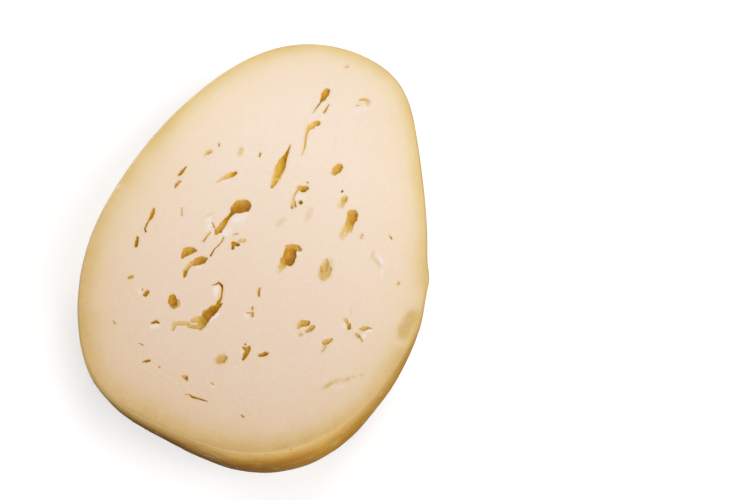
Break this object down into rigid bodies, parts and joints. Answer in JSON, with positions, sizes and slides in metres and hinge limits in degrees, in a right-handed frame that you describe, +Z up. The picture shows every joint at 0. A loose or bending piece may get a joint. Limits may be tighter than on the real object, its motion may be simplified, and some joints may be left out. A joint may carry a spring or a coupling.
{
  "type": "caciocavallo half",
  "caption": "Half of an egg-shaped stretched-curd cheese, cut lengthwise, lying on its round rind with the flat cut face and its torn eyes up.",
  "frame": {"origin": "under the middle of the half's box, on the surface it lies on", "axes": "+Z up, out of the cut face; +Y along the egg towards its narrow end; +X across it"},
  "size_m": [0.1444, 0.2006, 0.07],
  "materials": {
    "cheese": "satin, creamy ivory paste with eyes that turn ochre inside, yellower under a waxy golden rind"
  },
  "bodies": {
    "root": {"cheese_half": "cheese"}
  },
  "joints": []
}
